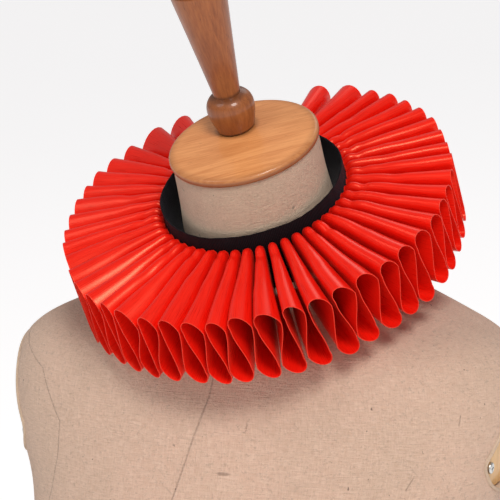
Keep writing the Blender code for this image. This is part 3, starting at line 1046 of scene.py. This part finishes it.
columns = []
start = OPENING - BAND_LAP / 2.0
span = 2.0 * pi + BAND_LAP
for k in range(BAND_STEPS + 1):
    part = k / BAND_STEPS
    turn = start + span * part
    radius = BAND_RADIUS - LAP_IN * smoothly((part - LAP_FROM) / LAP_RUN)
    column = []
    for j in range(BAND_ROWS + 1):
        up = j / BAND_ROWS
        height = BAND_TOP - BAND_TALL * (1.0 - up) + WAVE_TALL * band_wave(turn) * up
        lean = WAVE_LEAN * band_wave(turn + 0.7) * up * up
        column.append(round_neck(turn, radius + lean, height))
    columns.append(column)
band = sheet_from("grosgrain_band", columns)
uv = band.data.uv_layers.new(name="ribbon")
band_length = BAND_RADIUS * span * MM
for corner in band.data.loops:
    k, j = divmod(corner.vertex_index, BAND_ROWS + 1)
    uv.data[corner.index].uv = (k / BAND_STEPS * band_length, j / BAND_ROWS * BAND_TALL * MM)
give_thickness(band, BAND_WALL * MM)
settle(band, collar_frame, grosgrain, ["neckband"])
print("the band is", round(band_length, 3), "m long")

# %% Hook tape between the lapped ends
hooks = Finish("hook tape")
hook = hooks.node("ShaderNodeTexVoronoi", None, {"Vector": hooks.place(), "Scale": 900.0})
hooks.drive("Base Color", hooks.mix(hook * 1.4, (0.035, 0.033, 0.035), (0.008, 0.008, 0.009)))
hooks.drive("Roughness", hook * 0.2 + 0.7)
hooks.relief(1.0 - hook, 0.6 * MM, 1.0)
PAD_STEPS = 16
PAD_ROWS = 8
PAD_EDGE = 5.0  # from the band's edges
PAD_IN = 1.5  # in from the band's middle
PAD_HALF = BAND_LAP * 0.36
PAD_WALL = 0.9
columns = []
for k in range(PAD_STEPS + 1):
    turn = OPENING + PAD_HALF * (2.0 * k / PAD_STEPS - 1.0)
    column = []
    for j in range(PAD_ROWS + 1):
        height = BAND_TOP - PAD_EDGE - (BAND_TALL - 2.0 * PAD_EDGE) * j / PAD_ROWS
        column.append(round_neck(turn, BAND_RADIUS - PAD_IN, height))
    columns.append(column)
pad = sheet_from("hook_pad", columns)
give_thickness(pad, PAD_WALL * MM)
settle(pad, collar_frame, hooks.material, ["closure_pad"])

# %% [markdown]
# ## Satin
#
# Satin floats long threads over its face, so light runs along it in a soft bright line on every
# ridge, and the hollows keep a deep red. The finish has a strong even red, a low roughness that
# changes a little from thread to thread, and very fine ribs along the ribbon. The two woven edges
# are rougher and raised, with a painted highlight that makes them paler where they catch the light.

# %% Satin finish
RIBBON_WIDE = 72.4 * MM
SELVEDGE = 0.8 * MM
WEFT = 0.45 * MM


def satin_finish():
    satin = Finish("red satin", Specular_IOR_Level=1.0, Sheen_Weight=0.08, Sheen_Roughness=0.35)
    satin.drive("Specular Tint", (1.0, 0.34, 0.20))
    satin.drive("Sheen Tint", (1.0, 0.25, 0.15))
    along, across, _ = satin.parts(satin.place(uv=True))
    warp = satin.speckle(satin.place(uv=True, stretch=(26.0, 1.0, 1.0)), 60.0, 3.0)
    weft = (along * (2.0 * pi / WEFT)).maths("SINE") * 0.5 + 0.5
    dye = satin.speckle(satin.place(), 22.0, 2.0)
    red = satin.mix(dye.between(0.3, 0.7), (0.78, 0.006, 0.002), (0.85, 0.009, 0.003))
    red = satin.mix(warp.between(0.36, 0.64) * 0.34, red, (0.95, 0.020, 0.009))
    red = satin.mix((1.0 - warp).between(0.52, 0.66) * 0.30, red, (0.52, 0.002, 0.001))
    woven_edge_and_highlight = across.between(SELVEDGE, 0.2 * MM) + (RIBBON_WIDE - across).between(SELVEDGE, 0.2 * MM)
    # Painted highlight: the woven edges are painted paler, where they catch the light.
    red = satin.mix(woven_edge_and_highlight * 0.4, red, (0.92, 0.05, 0.025))
    satin.drive("Base Color", red)
    satin.drive("Roughness", warp * 0.16 + 0.22 + woven_edge_and_highlight * 0.2)
    satin.relief(warp * 0.45 + weft * 0.1 + woven_edge_and_highlight * 1.0, 0.05 * MM, 0.5)
    return satin.material


satin = satin_finish()

# %% [markdown]
# ## The pleats
#
# Seen from outside, each pleat is a figure eight: a loop above, a loop below, and the ribbon
# crossing between them. The ribbon is drawn as one line of points at each distance from the neck:
# over a loop, down a wall that curves in under it, round the loop below, and up again. The lines
# at the neck are drawn in narrow, because the ribbon is gathered there, and they fill the whole
# step further out, where the loops touch.
#
# No two pleats of a sewn ruff are alike. The places where loops meet are moved about at random,
# and the two loops that meet share the place, so the ribbon never passes through itself. Some
# ridges have a small dent near the neck, where a stitch pulls.

# %% Sizes of the pleats
FRILL_INNER = 65.0  # from the neck's axis, in millimetres
FRILL_OUTER = 137.5
LOOPS = 43
FIRST_LOOP = radians(132.5)
SECOND_LOOP = radians(144.5)
PITCH = radians(7.29)
END_STEP = radians(11.9)
END_HALF = 11.0  # half the width of the relaxed loops at the two ends
TOP_INNER, TOP_OUTER = 32.0, 25.9  # ridge heights over the frill's middle plane
LOW_INNER, LOW_OUTER = -15.5, -26.4
PLY_GAP = 0.55  # half the space between loops that touch
TOP_FILL = 0.89  # how much of its step a loop fills at the outer edge
LOW_FILL = 0.88
TALL_ARC = 1.35  # how tall a loop's round end is for its half width
ARC_STEPS = 12
WALL_STEPS = 9
REACH_STEPS = 22
RIBBON_THICK = 0.4
GATHERED = 0.66  # how much of its step a loop fills at the neck
NOSE, NOSE_LONG = 3.4, 0.07  # how far a ridge dips at the band, and over how much of its reach
DENT_LONG, SWELL_LONG = 0.045, 0.09
END_WALL = -16.4  # where the walls at the ribbon's two ends stop

# %% How each pleat differs
fold = random.Random(11)


def uneven(count, size):
    return [fold.uniform(-size, size) for _ in range(count)]


loop_angles = [FIRST_LOOP]
loop_angles += [SECOND_LOOP + PITCH * k for k in range(LOOPS - 2)]
loop_angles.append(loop_angles[-1] + END_STEP)
top_shift = uneven(LOOPS + 1, 0.085 * PITCH)
low_shift = uneven(LOOPS + 1, 0.10 * PITCH)
top_lift = uneven(LOOPS, 0.7)
low_lift = uneven(LOOPS, 0.9)
reach_out = uneven(LOOPS + 1, 1.0)
gather = [fold.uniform(0.70, 1.10) for _ in range(LOOPS)]
dent_deep = [max(0.0, fold.uniform(-0.7, 2.0)) for _ in range(LOOPS)]
dent_place = [fold.uniform(0.09, 0.22) for _ in range(LOOPS)]
swell_deep = uneven(LOOPS, 0.9)
swell_place = [fold.uniform(0.30, 0.52) for _ in range(LOOPS)]
sway = uneven(LOOPS + 1, 0.10 * PITCH)
tip = [fold.uniform(0.30, 0.55) for _ in range(LOOPS)]  # how far a loop leans over


def meeting(index, reach):
    """Where loop index - 1 and loop index meet, as a turn round the neck."""
    relaxed = END_HALF / FRILL_OUTER
    if index == 0:
        return loop_angles[0] - relaxed
    if index == LOOPS:
        return loop_angles[-1] + relaxed
    turn = (loop_angles[index - 1] + loop_angles[index]) / 2.0
    if index == 1:
        turn += (loop_angles[0] + relaxed - turn) * reach
    elif index == LOOPS - 1:
        turn += (loop_angles[-1] - relaxed - turn) * reach
    wander = sway[index] * sin(pi * reach * (1.4 + 0.6 * sin(index * 1.7)))
    return turn + top_shift[index] * smoothly(reach * 1.5) + wander


# %% The line of the fold at one distance from the neck


def loop_shape(index, reach, radius):
    """The upper loop's middle (a turn) and half width at this reach."""
    before = meeting(index, reach)
    after = meeting(index + 1, reach)
    full = (after - before) / 2.0 * radius * (1.0 - (1.0 - TOP_FILL) * smoothly(reach)) - PLY_GAP
    drawn_in = GATHERED * PITCH / 2.0 * radius
    share = smoothly(reach / gather[index]) if 0 < index < LOOPS - 1 else reach
    return (before + after) / 2.0, drawn_in + (full - drawn_in) * share


def under_shape(index, reach, radius):
    """The lower loop between loops index and index + 1: its middle and half width."""
    middle = (loop_angles[index] + loop_angles[index + 1]) / 2.0
    middle += low_shift[index + 1] * smoothly(reach * 1.5)
    half = PITCH / 2.0 * radius * (1.0 - (1.0 - LOW_FILL) * smoothly(reach)) - PLY_GAP
    drawn_in = GATHERED * PITCH / 2.0 * radius
    return middle, drawn_in + (half - drawn_in) * smoothly(reach * 1.7)


def fold_line(reach):
    """Points of the ribbon at one distance from the neck: turn, radius, height."""
    radius = FRILL_INNER + (FRILL_OUTER - FRILL_INNER) * reach
    nose = NOSE * (1.0 - smoothly(reach / NOSE_LONG))
    line = []
    for i in range(LOOPS):
        middle, half = loop_shape(i, reach, radius)
        dent = dent_deep[i] * exp(-(((reach - dent_place[i]) / DENT_LONG) ** 2))
        swell = swell_deep[i] * exp(-(((reach - swell_place[i]) / SWELL_LONG) ** 2))
        top = TOP_INNER + (TOP_OUTER - TOP_INNER) * reach + top_lift[i] * smoothly(reach * 2.0)
        top -= nose + dent - swell
        round_top = half * TALL_ARC
        sides = []
        for other in (i - 1, i):
            if 0 <= other < LOOPS - 1:
                low_middle, low_half = under_shape(other, reach, radius)
                low = LOW_INNER + (LOW_OUTER - LOW_INNER) * reach
                low += low_lift[other] * smoothly(reach * 2.0) + nose * 0.4
                edge = low_middle + low_half / radius * (1.0 if other < i else -1.0)
                sides.append((edge, low + low_half * TALL_ARC, low_middle, low_half))
            else:
                edge = middle + half / radius * (1.0 if other >= 0 else -1.0)
                sides.append((edge, END_WALL, None, None))
        wide = half / radius
        share = smoothly(reach * 1.3)
        out = radius + reach_out[i] * smoothly(reach * 2.0 - 1.0)
        start, start_height = sides[0][:2]
        for k in range(WALL_STEPS):
            part = k / WALL_STEPS
            turn = start + (middle - wide - start) * smoothly(part)
            line.append((turn, out, start_height + (top - round_top - start_height) * part))
        for k in range(ARC_STEPS + 1):
            a = pi - pi * k / ARC_STEPS
            turn = middle + wide * (cos(a) - tip[i] * sin(a) * share)
            line.append((turn, out, top - round_top + round_top * sin(a)))
        end, end_height, low_middle, low_half = sides[1]
        next_out = radius + reach_out[i + 1] * smoothly(reach * 2.0 - 1.0)
        for k in range(1, WALL_STEPS + 1):
            part = k / WALL_STEPS
            turn = middle + wide + (end - middle - wide) * smoothly(part)
            line.append((turn, out, top - round_top + (end_height - top + round_top) * part))
        if low_middle is not None:
            for k in range(1, ARC_STEPS):
                a = pi + pi * k / ARC_STEPS
                across = out + (next_out - out) * smoothly(k / ARC_STEPS)
                turn = low_middle + low_half / radius * (cos(a) - tip[i] * sin(a) * share)
                line.append((turn, across, end_height + low_half * TALL_ARC * sin(a)))
    return line


# %% Make the ribbon
CROWDED = 1.25  # the points are closer together near the neck
reaches = [(k / REACH_STEPS) ** CROWDED for k in range(REACH_STEPS + 1)]
lines = [fold_line(reach) for reach in reaches]
columns = [[round_neck(*spot) for spot in spots] for spots in zip(*lines)]
ribbon = sheet_from("satin_ruff", columns)
uv = ribbon.data.uv_layers.new(name="ribbon")
ribbon_length = [0.0]
for a, b in zip(columns, columns[1:]):
    ribbon_length.append(ribbon_length[-1] + (b[-1] - a[-1]).length)
for corner in ribbon.data.loops:
    k, j = divmod(corner.vertex_index, REACH_STEPS + 1)
    uv.data[corner.index].uv = (ribbon_length[k], reaches[j] * RIBBON_WIDE)
give_thickness(ribbon, RIBBON_THICK * MM)
lengths = [name for name in frame["nodes"] if name.startswith("frill_")]
settle(ribbon, collar_frame, satin, lengths, smooth=60.0)
print("the ribbon is", round(ribbon_length[-1], 2), "m long")

# %% [markdown]
# ## The end
#
# Nothing is left selected.

# %% Leave nothing selected
select_none()
